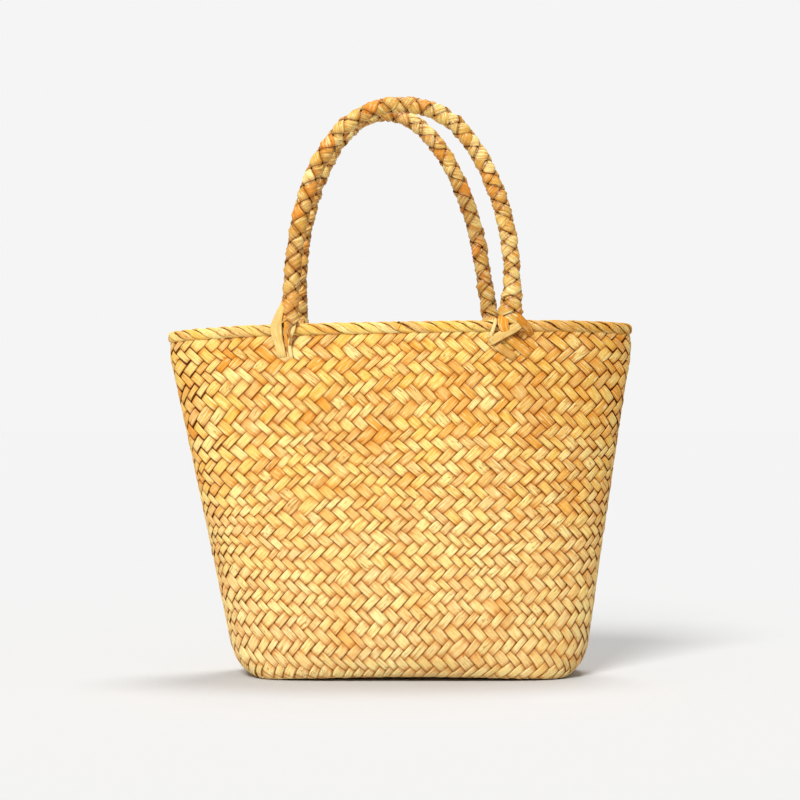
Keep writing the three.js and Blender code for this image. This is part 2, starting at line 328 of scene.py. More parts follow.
def make_mesh(name, vertices, quads, uv, attributes):
    mesh = bpy.data.meshes.new(name)
    mesh.vertices.add(len(vertices))
    mesh.vertices.foreach_set("co", vertices.astype(np.float32).ravel())
    mesh.loops.add(quads.size)
    mesh.loops.foreach_set("vertex_index", quads.astype(np.int32).ravel())
    mesh.polygons.add(len(quads))
    mesh.polygons.foreach_set("loop_start", np.arange(0, quads.size, 4, dtype=np.int32))
    mesh.polygons.foreach_set("use_smooth", np.ones(len(quads), bool))
    mesh.uv_layers.new(name="OFBake").uv.foreach_set("vector", uv.astype(np.float32).ravel())
    for key, values in attributes.items():
        layer = mesh.attributes.new(key, "FLOAT_VECTOR", "POINT")
        layer.data.foreach_set("vector", values.astype(np.float32).ravel())
    mesh.update(calc_edges=True)
    mesh.validate()
    piece = bpy.data.objects.new(name, mesh)
    bpy.context.scene.collection.objects.link(piece)
    return piece


# How many crossings a float spans, in the wall and the base and in the plaits.
TWILL_FLOAT = 2
PLAIT_FLOAT = 1
# A twill strand's stations for each two crossings, closest where it dives under or comes up, and a plait
# strand's even steps.
STATIONS = np.array([-0.32, -0.11, 0.11, 0.32, 0.66, 1.0, 1.34])
STEPS_PER_CROSSING = 6
# Where the middle of a strand's float lies, in crossings from the strand's own number: for the falling and
# the rising family, by the floats' length.
FAMILY_OFFSETS = {TWILL_FLOAT: (0.0, -1.0), PLAIT_FLOAT: (0.5, -0.5)}


def spread_edges(count, seed, spread):
    """Edges between strands of unequal width, as a function of the edge's number, round and round."""
    widths = 1 + spread * (2 * chance(np.arange(count), seed) - 1)
    edges = np.concatenate([[0], np.cumsum(widths)]) * count / widths.sum()

    def edge(number):
        number = np.asarray(number)
        return edges[number % count] + count * (number // count)

    return edge


def between(edge, place):
    """The position of a place that is counted in strands."""
    whole = np.floor(place).astype(int)
    return lerp(edge(whole), edge(whole + 1), place - whole)


def crown_of(phase):
    """1 in the middle of a float, and 0 where it dives."""
    return np.clip(1 - phase**2, 0, 1)


def lift_of(phase, steepness):
    """1 on top of a crossing, -1 under it, with a quick smooth step where the strand dives."""
    way = np.clip((1 - np.abs(phase)) / steepness, -1, 1)
    return way * (3 - way * way) / 2


class Weave:
    """Two slanting families of strands in a chart of column and row.

    The size of a strand's phase is 0 in the middle of a float, 1 where it dives and 2 midway under.
    """

    def __init__(self, count, float_length, seed, spread, wander, gaps, float_spread):
        self.count, self.float_length, self.seed = count, float_length, seed
        self.wander, self.gaps, self.float_spread = wander, gaps, float_spread
        self.edges = [spread_edges(count, seed, spread), spread_edges(count, seed + 1, spread)]

    def stations(self, low, high):
        """Places along a strand, in crossings from the middle of one of its floats."""
        if self.float_length == TWILL_FLOAT:
            blocks = np.arange(np.floor(low / 2) - 1, np.ceil(high / 2) + 1) * 2 + 1
            places = (blocks[:, None] + STATIONS).ravel()
        else:
            steps = np.arange(np.floor(low * STEPS_PER_CROSSING), np.ceil(high * STEPS_PER_CROSSING) + 1)
            places = steps / STEPS_PER_CROSSING
        return places[(places > low) & (places < high)]

    def edge_wander(self, place, tag, seed):
        return self.wander * noise(place * WANDER_SCALE, tag * 9, seed)

    def strands(self, rising, numbers, rows, ring):
        """Chart coordinates and attributes of these strands of one family between two rows."""
        own, other = self.edges[rising], self.edges[1 - rising]
        offset = FAMILY_OFFSETS[self.float_length][rising]
        ends = [0.5 - offset + (2 if rising else -2) * row for row in rows]
        numbers, x = np.broadcast_arrays(np.asarray(numbers)[:, None], self.stations(min(ends), max(ends)))
        tag, next_tag = numbers % self.count, (numbers + 1) % self.count
        seed = self.seed + 5 * rising
        left = own(numbers) + self.edge_wander(offset + x, tag, seed)
        right = own(numbers + 1) + self.edge_wander(offset + x - 1, next_tag, seed)
        phase = ((x / self.float_length * 2 + 2) % 4) - 2
        float_number = np.floor((x + self.float_length) / (2 * self.float_length)).astype(int)
        gap = lerp(*self.gaps, chance(tag, seed, 3))
        pinch = PINCH * ramp(np.abs(phase), *PINCH_PHASES) ** 1.5
        size = 1 + self.float_spread * (2 * chance(tag, float_number, seed + 3) - 1) * crown_of(phase)
        half = (right - left) / 2 * (1 - gap) * size * (1 - pinch)
        place = ((left + right) / 2)[..., None] + half[..., None] * ring[:, 0]
        cross = between(other, numbers + offset + x)[..., None]
        p, q = (cross, place) if rising else (place, cross)
        return {
            "column": (p + q) / 2,
            "row": (p - q) / 2,
            "x": x,
            "phase": phase,
            "strand_tone": chance(tag, seed, 11),
            "float_tone": chance(tag, float_number, seed),
            "bulge": chance(tag, float_number, seed + 1),
            "tilt": 2 * chance(tag, float_number, seed + 2) - 1,
        }


def tones_of(chart):
    return [chart[key][..., None] for key in ("strand_tone", "float_tone", "bulge")]


def weave_lift(chart, ring, gape=1.0, tilt=0.0):
    """How far each point of the strands lies out from the weave's middle."""
    crown = crown_of(chart["phase"])
    out = WEAVE_LIFT * gape * lift_of(chart["phase"], DIVE) + lerp(*BULGE, chart["bulge"]) * crown * gape
    out = out[..., None] + ring[:, 1] * STRAND_THICKNESS / 2
    return out + (chart["tilt"] * tilt * gape * crown)[..., None] * ring[:, 0]


# Wall: strands that each go over two and under two others.
VARIATION = {"spread": WIDTH_SPREAD, "wander": EDGE_WANDER, "gaps": GAP_SHARE, "float_spread": FLOAT_SPREAD}
WALL_SEED = 20
WALL_WEAVE = Weave(COLUMNS, TWILL_FLOAT, WALL_SEED, **VARIATION)


def level_of_row(row):
    """Rows start under the base's edge and rise unevenly, as the photo's do."""
    return np.interp((row - 0.25) / 2, ROW_PAIRS, PAIR_HEIGHTS)


def end_gape(column, level):
    """1, and more where the wall bends round the bag's ends, above its foot."""
    bend = np.sin(2 * np.pi * column / COLUMNS) ** 6
    return (1 + END_GAPE * bend * ramp(level, *GAPE_LEVELS)).mean(axis=-1)


def wall_strands(name, rising, numbers):
    ring = FLAT_RING
    chart = WALL_WEAVE.strands(rising, numbers, ROWS, ring)
    level = level_of_row(chart["row"])
    out = weave_lift(chart, ring, end_gape(chart["column"], level), FLOAT_TILT)
    flat = np.clip(-level / UNDER_REACH, 0, 1)
    out = out * (1 - 0.5 * flat) - WALL_THICKNESS / 2
    points = wall_point(chart["column"], level, out)
    along = chart["x"] * CROSSING_LENGTH
    # Across signed so that 1 is a strand's lower edge, where the material paints shade.
    lower = ring[:, 0] * (1 if rising else -1)
    return strand_mesh(name, points, along, lower, chart["phase"][..., None], tones_of(chart), ring)


# Base: a flat mat of the same weave, which lies on the wall strands' turned-in ends and lifts at its edge.
MAT_PITCH = (8.2, 7.84)
MAT_CELLS = 20
MAT_INSET = 2.0
MAT_LIFT = 1.1
MAT_EDGE = (0.55, 0.95)
MAT_ARCH = (15.0, 45.0)
MAT_SEED = 60


def mat_strands(name, rising):
    ring = FLAT_RING
    weave = Weave(4 * MAT_CELLS, TWILL_FLOAT, MAT_SEED, **VARIATION)
    chart = weave.strands(rising, np.arange(-MAT_CELLS, MAT_CELLS), (-MAT_CELLS, MAT_CELLS), ring)
    x, y = chart["column"] * MAT_PITCH[0], chart["row"] * MAT_PITCH[1]
    half_length = FOOT_LENGTH / 2 - FOOT_END_ROUNDING - MAT_INSET
    half_depth = FOOT_DEPTH / 2 - FOOT_SIDE_ROUNDING - MAT_INSET
    reach = (np.abs(x) / half_length) ** 4 + (np.abs(y) / half_depth) ** 4
    inside = (reach < 1).all(axis=2)
    arch = EDGE_ARCH * np.maximum(0, 1 - (2 * x / EDGE_ARCH_SPAN) ** 2) * ramp(np.abs(y), *MAT_ARCH)
    height = weave_lift(chart, ring) + WALL_THICKNESS / 2 + arch + MAT_LIFT * ramp(reach**0.25, *MAT_EDGE)
    points = np.stack([x, y, height], axis=-1)
    along = chart["x"] * CROSSING_LENGTH
    phase = chart["phase"][..., None]
    keep = inside[:, :-1] & inside[:, 1:]
    return strand_mesh(name, points, along, ring[:, 0], phase, tones_of(chart), ring, keep)


# Rim: strands laid round a core like a rope's. Face widths are for its top and its sides, and sizes and
# unevenness run from a straw's lowest to its highest.
RIM_WIDTH = 7.0
RIM_HEIGHT = 8.0
RIM_RISE = 4.3
RIM_SQUARENESS = 2.7
RIM_PETALS = 68
RIM_PETAL_LENGTH = 9.75
RIM_STRANDS = 4
RIM_STATIONS = 22
RIM_THICKNESS = 1.5
RIM_PERIMETER_SHARE = 2.55
RIM_SLACK = 4.0
RIM_SINK = 0.15
RIM_TILT = 0.4
RIM_WANDER = 1.3
RIM_WANDER_LENGTH = 17.0
RIM_FACE_WIDTHS = (0.94, 1.04)
RIM_SIZES = (0.86, 1.1)
RIM_UNEVEN = (-0.1, 0.1)
RIM_DIVE = 0.9
CORE_SIDES = 10
CORE_STATIONS = 301
CORE_SINK = 0.35
CORE_LENGTH = 660.0


def rim_surface(column, turn, out):
    """Turn 0 faces outward and a quarter turn faces up."""
    across = (RIM_WIDTH / 2 - RIM_THICKNESS + out) * signed_power(np.cos(turn), 2 / RIM_SQUARENESS)
    up = (RIM_HEIGHT / 2 - RIM_THICKNESS + out) * signed_power(np.sin(turn), 2 / RIM_SQUARENESS)
    height = np.full(np.shape(column), RIM_RISE - RIM_HEIGHT / 2)
    middle = edge_point(column, height, np.zeros(np.shape(column)))
    outer = edge_point(column, height, np.ones(np.shape(column)))
    point = middle + (outer - middle) * across[..., None]
    point[..., 2] += up
    return point


def rim_strands(name):
    ring = ROUND_RING
    leads = RIM_PETALS // RIM_STRANDS
    girth = RIM_PETALS * RIM_PETAL_LENGTH
    lead = girth / leads
    steps = leads * RIM_STATIONS
    s, strand = np.broadcast_arrays(np.arange(steps + 1) / steps * girth, np.arange(RIM_STRANDS)[:, None])
    turn = np.pi / 2 * strand - 2 * np.pi * s / lead
    petal = np.floor((turn - np.pi / 2) / (2 * np.pi)).astype(int)
    perimeter = RIM_PERIMETER_SHARE * (RIM_WIDTH + RIM_HEIGHT) / 2 + RIM_SLACK
    slope = perimeter / lead
    norm = np.hypot(1, slope)
    width = girth / RIM_PETALS * slope / norm * lerp(*RIM_FACE_WIDTHS, np.cos(turn) ** 2)
    half = width / 2 * lerp(*RIM_SIZES, chance(strand, petal, 5))
    v = half[..., None] * ring[:, 0]
    wander = RIM_WANDER * noise(s / RIM_WANDER_LENGTH, strand * 3.0, 8)
    column = ((s + wander)[..., None] + v * slope / norm) / girth * COLUMNS
    angle = turn[..., None] + v / norm / (perimeter / (2 * np.pi))
    out = RIM_THICKNESS / 2 * (1 + ring[:, 1]) - RIM_SINK - RIM_TILT * ring[:, 0]
    out = out + lerp(*RIM_UNEVEN, chance(strand, petal, 6))[..., None]
    # The phase nears 1 where a wrap turns under, which the material darkens as painted shade.
    phase = ((turn / np.pi + 1) % 2 - 1) * RIM_DIVE
    tones = [chance(strand, petal, key)[..., None] for key in (1, 2)] + [np.full((1, 1, 1), 0.5)]
    points = rim_surface(column, angle, out)
    return strand_mesh(name, points, s * norm, ring[:, 0], phase[..., None], tones, ring)


# The core is coloured dark brown, as painted shade seen through the gaps between the wraps.
def rim_core(name):
    angles = np.arange(CORE_SIDES) / CORE_SIDES * 2 * np.pi
    ring = np.stack([np.cos(angles), np.sin(angles)], axis=1)
    columns = np.linspace(0, COLUMNS, CORE_STATIONS)[None, :, None]
    column, turn = np.broadcast_arrays(columns, angles)
    points = rim_surface(column, turn, np.full(turn.shape, -CORE_SINK))
    along = np.linspace(0, CORE_LENGTH, CORE_STATIONS)[None, :]
    tones = [np.full((1, 1, 1), tone) for tone in (0.5, 0.5, 0.0)]
    return strand_mesh(name, points, along, ring[:, 0], np.zeros((1, 1, 1)), tones, ring)


# Handles: an arch's numbers are the frame's. Leads are the lengths of the plait's full turns, flares how much
# wider it gets at its feet, and shifts how far its feet move to the right, for its left and right half.
HANDLES = {
    "handle_front": {
        "side": -1, "span": 146.0, "rise": 141.0, "offset": 0.011, "lean": 0.003, "squareness": (2.36, 2.14),
        "leads": (24.6, 20.0), "flares": (0.06, 0.6), "shifts": (-0.6, -4.2), "seed": 200,
    },
    "handle_back": {
        "side": 1, "span": 128.4, "rise": 143.6, "offset": -0.0317, "lean": -0.0535,
        "squareness": (2.02, 2.08), "leads": (21.0, 24.0), "flares": (0.1, 0.2), "shifts": (1.0, 3.0),
        "seed": 300,
    },
}
HANDLE_FOOT = 4.6
FLARE_HEIGHT = 40.0
FLARE_SHARPNESS = 1.5
FOOT_OVERHANG = 2.6
FOOT_DROP = 3.0
ARCH_STEPS = 1200
ARCH_WANDER = 0.5
LEAD_PLACES = (0.0, 0.45, 0.55, 1.0)
DEPTH = np.array([0.0, 1.0, 0.0])

# Plait: two pairs of strands round the arch. Turns are its twist at its left and right foot, in half turns.
PLAIT_PAIR = 2
PLAIT_RADIUS = 4.15
PLAIT_LIFT = 0.65
PLAIT_DIVE = 0.6
PLAIT_THICKNESS = 1.7
PLAIT_BULGE = (-0.32, 0.48)
PLAIT_TILT = 0.8
PLAIT_TURNS = (-0.82, -0.67)
PLAIT_END = 0.02
PLAIT_VARIATION = {"spread": 0.2, "wander": 0.16, "gaps": (0.0, 0.08), "float_spread": 0.3}
PETAL_LENGTH = 6.0
FIBRE_LENGTH = 8.0
RIDGE = 0.42
RIDGE_TURNS = 9.0
RIDGE_SWAY = 2.2


def foot_share(height, lowest):
    """1 at a handle's feet, falling to 0 at FLARE_HEIGHT above them."""
    return (1 - ramp(height, lowest, lowest + FLARE_HEIGHT)) ** FLARE_SHARPNESS


class Arch:
    """A handle's middle line, which can be followed by its length."""

    def __init__(self, side, span, rise, offset, lean, squareness, leads, flares, shifts, seed):
        self.seed, self.flares = seed, flares
        feet = [column_at(MOUTH_SHIFT + (offset + end) * span, side) for end in (-0.5, 0.5)]
        left, right = (edge_point(np.array(c), np.array(HANDLE_FOOT), np.array(0.0)) for c in feet)
        turn = np.linspace(0, np.pi, ARCH_STEPS)
        exponent = 2 / np.where(turn < np.pi / 2, *squareness)
        along = -signed_power(np.cos(turn), exponent)[:, None]
        up = signed_power(np.sin(turn), exponent)[:, None]
        points = (left + right) / 2 + (right - left) / 2 * along + up * np.array([lean * span, 0.0, rise])
        points[:, 0] += ARCH_WANDER * noise(turn * 3, 0, seed)
        low = foot_share(points[:, 2], points[:, 2].min())
        points[:, 0] += low * np.where(turn < np.pi / 2, *shifts)
        points[:, 1] += low * side * FOOT_OVERHANG
        points[:, 2] -= low * FOOT_DROP
        steps = np.linalg.norm(np.diff(points, axis=0), axis=1)
        self.points = points
        self.tangents = unit(np.gradient(points, axis=0))
        self.lengths = np.concatenate([[0], np.cumsum(steps)])
        lead = np.interp(self.lengths / self.lengths[-1], LEAD_PLACES, np.repeat(leads, 2))
        self.turns = np.concatenate([[0], np.cumsum(steps / lead[1:])])

    def follow(self, values, length):
        return np.stack([np.interp(length, self.lengths, values[:, k]) for k in range(3)], axis=-1)

    def at(self, turns, angle, radius):
        """The point that many turns of the plait along, at an angle from the front, at a radius."""
        length = np.interp(turns, self.turns, self.lengths)
        point = self.follow(self.points, length)
        low = foot_share(point[..., 2], self.points[:, 2].min())
        flare = 1 + low * np.where(length < self.lengths[-1] / 2, *self.flares)
        sideways = unit(np.cross(DEPTH, unit(self.follow(self.tangents, length)))) * flare[..., None]
        direction = sideways * np.sin(angle)[..., None] - DEPTH * np.cos(angle)[..., None]
        return point + direction * radius[..., None]


def petal_ridges(chart, ring, rising, seed):
    """Ridges along each petal's face, high on a crumpled one and low on a smooth one."""
    length = (chart["x"] * PETAL_LENGTH)[..., None]
    crumple = np.clip(3 * chart["float_tone"] - 1.0, 0.2, 1)[..., None]
    sway = RIDGE_SWAY * noise(length * 0.2, 3.0 * rising, seed + 1)
    ridges = np.sin(ring[:, 0] * RIDGE_TURNS + sway) + 0.6 * noise(length * 0.7, ring[:, 0] * 3, seed)
    return RIDGE * crumple * ridges * (ring[:, 1] > 0)


def plait_points(chart, ring, rising, arch, last_row):
    crown = crown_of(chart["phase"])
    share = np.clip(chart["row"] / last_row, 0, 1)
    angle = np.pi * (chart["column"] + lerp(*PLAIT_TURNS, share))
    out = PLAIT_RADIUS + PLAIT_LIFT * lift_of(chart["phase"], PLAIT_DIVE)
    out = out + lerp(*PLAIT_BULGE, chart["bulge"]) * crown
    relief = PLAIT_TILT * chart["tilt"][..., None] * ring[:, 0] + petal_ridges(chart, ring, rising, arch.seed)
    out = out[..., None] + ring[:, 1] * PLAIT_THICKNESS / 2 + relief * crown[..., None]
    return arch.at(chart["row"] / 2, angle, out)


def plait(name, facts):
    ring = RIDGED_RING
    arch = Arch(**facts)
    weave = Weave(PLAIT_PAIR, PLAIT_FLOAT, arch.seed, **PLAIT_VARIATION)
    rows = (PLAIT_END, 2 * arch.turns[-1] - PLAIT_END)
    charts = [weave.strands(rising, np.arange(PLAIT_PAIR), rows, ring) for rising in (0, 1)]
    shortest = min(chart["x"].shape[1] for chart in charts)
    charts = [{key: values[:, :shortest] for key, values in chart.items()} for chart in charts]
    points = [plait_points(chart, ring, rising, arch, rows[1]) for rising, chart in enumerate(charts)]
    both = {key: np.concatenate([chart[key] for chart in charts]) for key in charts[0]}
    along, phase = both["x"] * FIBRE_LENGTH, both["phase"][..., None]
    # Across signed so that 1 is a strand's lower edge, where the material paints shade.
    lower = np.repeat([-1, 1], PLAIT_PAIR)[:, None, None] * ring[:, 0]
    return strand_mesh(name, np.concatenate(points), along, lower, phase, tones_of(both), ring)


# Ties: flat straws that bind each handle foot to the rim. Columns of a route, in millimetres: along the wall
# from the foot to the right, up from the wall's top edge, out from the wall's middle, and the straw's width.
STRAP_THICKNESS = 0.9
STRAP_STATIONS = 34
STRAP_END_SHARPNESS = 5
BROAD_STRAP = [
    (-3.6, 18.5, 3.6, 3.4), (-5.2, 13.6, 5.8, 4.4), (-6.6, 8.6, 6.6, 5.6), (-7.9, 4.2, 6.2, 6.8),
    (-8.3, 0.7, 5.5, 8.1), (-7.6, -3.4, 4.9, 7.3), (-6.2, -9.7, 3.0, 6.3), (-4.9, -15.8, 2.3, 5.9),
    (-4.5, -18.2, 0.2, 5.6), (-4.6, -16.0, -2.0, 5.4), (-5.0, -9.7, -2.8, 5.6), (-5.2, -3.8, -4.8, 5.6),
    (-4.6, 3.2, -5.5, 5.0), (-3.0, 9.0, -3.2, 4.2),
]
TWISTED_STRAW = [
    (-2.6, 10.0, 4.8, 3.8), (-1.6, 4.0, 6.4, 3.2), (-2.4, -2.0, 5.2, 2.4), (-1.2, -8.0, 3.2, 2.4),
    (-0.9, -13.5, 0.2, 2.0),
]
HOOKED_STRAW = [
    (0.8, 9.0, 5.0, 3.0), (1.2, 4.0, 6.2, 2.6), (-0.2, -1.0, 5.6, 2.2), (1.4, -6.0, 4.4, 2.0),
    (0.2, -11.0, 2.2, 2.0), (0.0, -13.0, 0.0, 1.8),
]
THIN_STRAW = [
    (3.4, 6.0, 4.2, 3.0), (2.8, 1.0, 5.2, 2.9), (0.6, -7.0, 3.6, 2.2), (0.4, -12.0, 2.3, 2.5),
    (0.9, -17.2, 1.6, 2.6), (1.0, -19.6, -0.4, 2.0),
]
CROSS_STRAP = [
    (-17.6, -10.6, 0.0, 5.4), (-16.4, -9.7, 2.4, 5.8), (-11.5, -6.8, 4.2, 6.1), (-6.0, -3.9, 5.6, 6.1),
    (-1.0, -1.2, 6.8, 6.1), (1.6, 0.3, 6.8, 5.8), (3.2, 1.4, 4.6, 5.4), (3.8, 1.8, 1.0, 5.0),
]
RIGHT_STRAW = [
    (-0.6, 7.4, 4.0, 4.8), (1.6, 5.4, 7.0, 5.0), (4.6, 2.0, 7.0, 5.2), (7.8, -1.8, 5.2, 5.0),
    (9.6, -4.6, 2.6, 4.6), (10.2, -5.6, 0.4, 4.2),
]
LOW_STRAW = [
    (-6.0, -6.4, 1.4, 5.6), (-4.4, -8.0, 2.9, 6.0), (0.0, -11.8, 2.5, 6.2), (4.0, -15.2, 2.2, 6.2),
    (7.6, -18.3, 1.8, 5.8), (8.6, -19.2, 0.0, 5.4),
]
BROWN_STRAW = [
    (-13.6, -11.8, 0.6, 5.0), (-12.0, -13.0, 2.3, 5.4), (-6.0, -17.3, 2.3, 5.4), (-1.6, -20.3, 1.9, 5.2),
    (-0.4, -21.2, -0.2, 4.8),
]
LIGHT_STRAW = [
    (-18.0, -8.6, 0.4, 2.0), (-17.2, -6.8, 2.4, 2.3), (-15.5, -3.4, 4.7, 2.4), (-13.9, 0.4, 5.3, 2.4),
    (-12.9, 3.4, 4.6, 2.3), (-12.4, 5.0, 1.5, 2.0),
]
FOOT_STRAW = [
    (-7.6, 7.0, 3.6, 6.2), (-8.4, 3.4, 6.6, 7.2), (-7.8, -0.6, 6.6, 6.8), (-6.4, -4.6, 4.6, 5.0),
    (-6.0, -6.0, 1.0, 4.4),
]
# End is the handle's left or right foot, and shift moves the straws to the right of it. A straw's columns:
# its route, its slant, which is its turn from upright to the left in degrees, and its strand's and its own
# tone.
TIES = {
    "tie_front_left": {"handle": "handle_front", "end": -0.5, "shift": 0.0, "straws": [
        (BROAD_STRAP, 4, 0.35, 0.22), (TWISTED_STRAW, 6, 0.2, 0.86), (HOOKED_STRAW, -8, 0.3, 0.97),
        (THIN_STRAW, 0, 0.4, 0.08),
    ]},
    "tie_front_right": {"handle": "handle_front", "end": 0.5, "shift": 0.0, "straws": [
        (CROSS_STRAP, -58, 0.8, 0.42), (RIGHT_STRAW, 40, 0.1, 0.93), (LOW_STRAW, 50, 0.2, 0.7),
        (BROWN_STRAW, 52, 0.35, 0.55), (LIGHT_STRAW, -25, 0.9, 0.05), (FOOT_STRAW, 10, 0.15, 0.82),
    ]},
    "tie_back_left": {"handle": "handle_back", "end": -0.5, "shift": 4.0, "straws": [
        (BROAD_STRAP, 4, 0.7, 0.2), (TWISTED_STRAW, 6, 0.6, 0.7), (HOOKED_STRAW, -8, 0.3, 0.97),
        (THIN_STRAW, 0, 0.4, 0.35),
    ]},
    "tie_back_right": {"handle": "handle_back", "end": 0.5, "shift": 6.5, "straws": [
        (BROAD_STRAP, 4, 0.45, 0.3), (TWISTED_STRAW, 6, 0.3, 0.9), (HOOKED_STRAW, -8, 0.5, 0.6),
        (THIN_STRAW, 0, 0.8, 0.1),
    ]},
}


def smooth_route(route):
    """A smooth curve through the route's rows, evenly cut into stations, and its length."""
    route = np.array(route, float)
    steps = np.linalg.norm(np.diff(route[:, :3], axis=0), axis=1)
    places = np.concatenate([[0], np.cumsum(steps)])
    slopes = np.gradient(route, places, axis=0)
    wanted = np.linspace(0, places[-1], STRAP_STATIONS)
    i = np.clip(np.searchsorted(places, wanted, side="right") - 1, 0, len(route) - 2)
    span = (places[i + 1] - places[i])[:, None]
    t = (wanted - places[i])[:, None] / span
    start = route[i] * (1 + 2 * t) * (1 - t) ** 2 + slopes[i] * span * t * (1 - t) ** 2
    end = route[i + 1] * t**2 * (3 - 2 * t) - slopes[i + 1] * span * t**2 * (1 - t)
    return start + end, places[-1]


def strap(route, slant, side, foot_x):
    """The points of one straw's surface, and the length along it."""
    ring = FLAT_RING
    rows, length = smooth_route(route)
    columns = np.array([column_at(foot_x + shift, side) for shift in rows[:, 0]])
    middle = edge_point(columns, rows[:, 1], rows[:, 2])
    tangent = unit(np.gradient(middle, axis=0))
    turn = np.radians(slant)
    across = np.array([np.cos(turn), 0.0, np.sin(turn)])
    across = unit(across - tangent * (tangent @ across)[:, None])
    normal = np.cross(tangent, across)
    wide = across[:, None] * (ring[:, 0] * rows[:, 3:4] / 2)[..., None]
    thick = normal[:, None] * (ring[:, 1] * STRAP_THICKNESS / 2)[None, :, None]
    return middle[:, None] + wide + thick, np.linspace(0, length, STRAP_STATIONS)


def tie(name, handle, end, shift, straws):
    facts = HANDLES[handle]
    foot_x = MOUTH_SHIFT + (facts["offset"] + end) * facts["span"] + shift
    shapes = [strap(route, slant, facts["side"], foot_x) for route, slant, _, _ in straws]
    points = np.stack([shape[0] for shape in shapes])
    along = np.stack([shape[1] for shape in shapes])
    # The phase is 1 at a straw's two ends, which the material darkens as painted shade where it tucks under.
    phase = (np.linspace(-1, 1, STRAP_STATIONS) ** STRAP_END_SHARPNESS)[None, :, None]
    tones = [np.array([straw[k] for straw in straws])[:, None, None] for k in (2, 3)]
    return strand_mesh(name, points, along, FLAT_RING[:, 0], phase, (*tones, np.zeros((1, 1, 1))), FLAT_RING)


def linear(colour):
    """A hexadecimal sRGB colour as the linear one that sockets take."""
    parts = [int(colour[k:k + 2], 16) / 255 for k in (0, 2, 4)]
    return tuple(p / 12.92 if p <= 0.04045 else ((p + 0.055) / 1.055) ** 2.4 for p in parts) + (1.0,)


class Shader:
    """Builds one procedural material out of nodes."""

    def __init__(self, name):
        self.material = bpy.data.materials.new(name)
        self.material.use_nodes = True
        self.tree = self.material.node_tree
        self.surface = self.tree.nodes["Principled BSDF"]

    def node(self, kind, **settings):
        made = self.tree.nodes.new(kind)
        for key, value in settings.items():
            setattr(made, key, value)
        return made

    def link(self, value, socket):
        if isinstance(value, bpy.types.NodeSocket):
            self.tree.links.new(value, socket)
        else:
            socket.default_value = value

    def set(self, node, **values):
        """Sets a node's own sockets, named with _ for a space."""
        for key, value in values.items():
            node.inputs[key.replace("_", " ")].default_value = value

    def math(self, operation, a, b=0.0, c=0.0):
        made = self.node("ShaderNodeMath", operation=operation)
        for value, socket in zip((a, b, c), made.inputs):
            self.link(value, socket)
        return made.outputs[0]

    def times(self, a, b):
        return self.math("MULTIPLY", a, b)

    def parts(self, vector):
        split = self.node("ShaderNodeSeparateXYZ")
        self.link(vector, split.inputs[0])
        return split.outputs

    def attribute(self, name):
        return self.parts(self.node("ShaderNodeAttribute", attribute_name=name).outputs["Vector"])

    def vector(self, x, y, z):
        made = self.node("ShaderNodeCombineXYZ")
        for value, socket in zip((x, y, z), made.inputs):
            self.link(value, socket)
        return made.outputs[0]

    def noise(self, vector, scale, detail, roughness):
        made = self.node("ShaderNodeTexNoise")
        self.link(vector, made.inputs["Vector"])
        self.set(made, Scale=scale, Detail=detail, Roughness=roughness)
        return made.outputs["Fac"]

    def ramp(self, value, stops):
        made = self.node("ShaderNodeValToRGB")
        points = made.color_ramp.elements
        while len(points) < len(stops):
            points.new(0.5)
        for point, (place, colour) in zip(points, stops):
            point.position = place
            point.color = linear(colour)
        self.link(value, made.inputs[0])
        return made.outputs[0]

    def step(self, value, low, high):
        """0 at low, 1 at high and smooth between them."""
        made = self.node("ShaderNodeMapRange", interpolation_type="SMOOTHSTEP")
        for item, socket in zip((value, low, high, 0.0, 1.0), made.inputs):
            self.link(item, socket)
        return made.outputs[0]

    def mix(self, share, a, b):
        made = self.node("ShaderNodeMix", data_type="RGBA")
        self.link(share, made.inputs[0])
        for value, socket in ((a, made.inputs[6]), (b, made.inputs[7])):
            self.link(linear(value) if isinstance(value, str) else value, socket)
        return made.outputs[2]


class Straw(Shader):
    """A straw material in the making: what its layers share, and the colour so far."""

    def __init__(self, name, stops):
        super().__init__(name)
        self.along, self.across, self.phase = self.attribute("straw")
        self.strand_tone, self.float_tone, _ = self.attribute("tone")
        self.place = self.node("ShaderNodeTexCoord").outputs["Object"]
        self.to_right, _, self.upward = self.parts(self.place)
        self.seed = self.times(self.strand_tone, 83.0)
        lengthwise = self.stretched(0.06, 2.6)
        self.fibre = self.noise(lengthwise, 1.7, 4.0, 0.62)
        self.fine = self.noise(lengthwise, 6.0, 3.0, 0.6)
        # The bag's upper right, where shade is painted on the side away from the light.
        self.right_shade_mask = self.times(self.step(self.to_right, 0.01, 0.15), self.step(self.upward, 0.0, 0.2))
        self.colour = self.ramp(self.float_tone, stops)

    def stretched(self, along, across):
        """A place on the strand for a noise, scaled along it and across it."""
        return self.vector(self.times(self.along, along), self.times(self.across, across), self.seed)

    def tint(self, colour, share, strength=1.0):
        self.colour = self.mix(self.times(share, strength), self.colour, colour)


# Tones run from a float's palest to its most orange or brown.
GOLD = (
    (0.0, "FFE896"), (0.2, "FCD874"), (0.5, "F7C65A"), (0.7, "F0BE72"), (0.88, "EFB04A"), (1.0, "EA9A30"),
)
OLIVE_GOLD = ((0.0, "FFE798"), (0.3, "EEC86A"), (0.55, "D8AC50"), (0.85, "DDA246"), (1.0, "EE9226"))
TIE_TONES = (
    (0.0, "F8E09A"), (0.3, "EFC870"), (0.5, "CB9C54"), (0.7, "DD9A3C"), (0.86, "F09C28"), (1.0, "9A5A18"),
)
# The rim's core is coloured dark brown, as painted shade in the gaps between the wraps.
CORE_SHADE_TONES = ((0.0, "6B3F14"), (1.0, "4A2A0C"))
PALE_STRAND = "FFEB9C"
PALE_FOOT = "FFEFB0"
